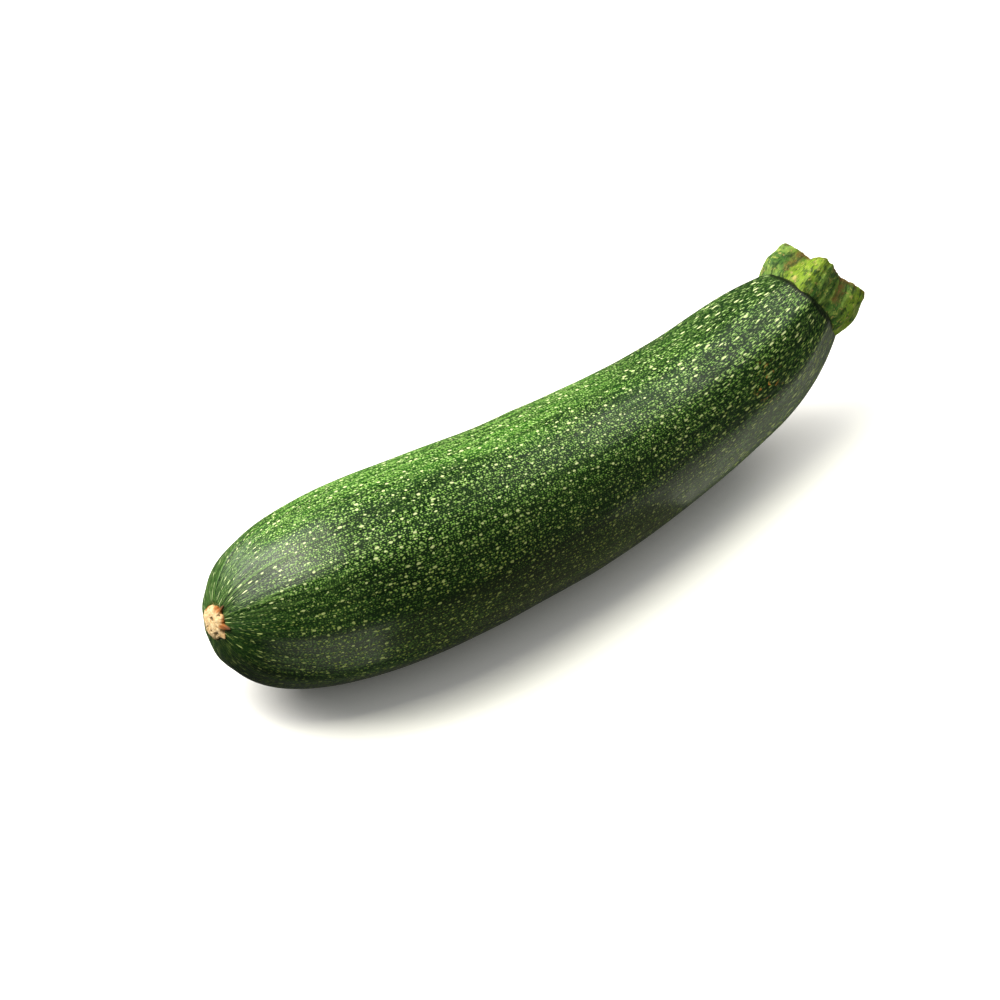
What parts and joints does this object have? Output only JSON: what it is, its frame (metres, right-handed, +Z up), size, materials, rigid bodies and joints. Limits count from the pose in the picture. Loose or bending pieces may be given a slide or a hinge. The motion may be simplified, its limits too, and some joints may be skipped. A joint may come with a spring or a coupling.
{
  "type": "zucchini",
  "caption": "Long dark green zucchini, bowed and softly ribbed, with a lobed stub of cut stem at one end and a corky blossom scar at the other, lying on its belly.",
  "frame": {"origin": "middle of the footprint box, on the surface that the zucchini lies on", "axes": "+X along its length from the blossom end to the stem, +Z up from the flat spot on its belly"},
  "size_m": [0.2308, 0.0572, 0.0525],
  "materials": {
    "skin": "waxy dark green skin with pale flecks, satin to glossy",
    "stem": "rough dry yellow-green stem with brown cut edges, matt",
    "cork": "rough cream cork with an orange-brown edge, matt"
  },
  "bodies": {
    "root": {"fruit": "skin", "stem": "stem", "blossom_scar": "cork"}
  },
  "joints": []
}
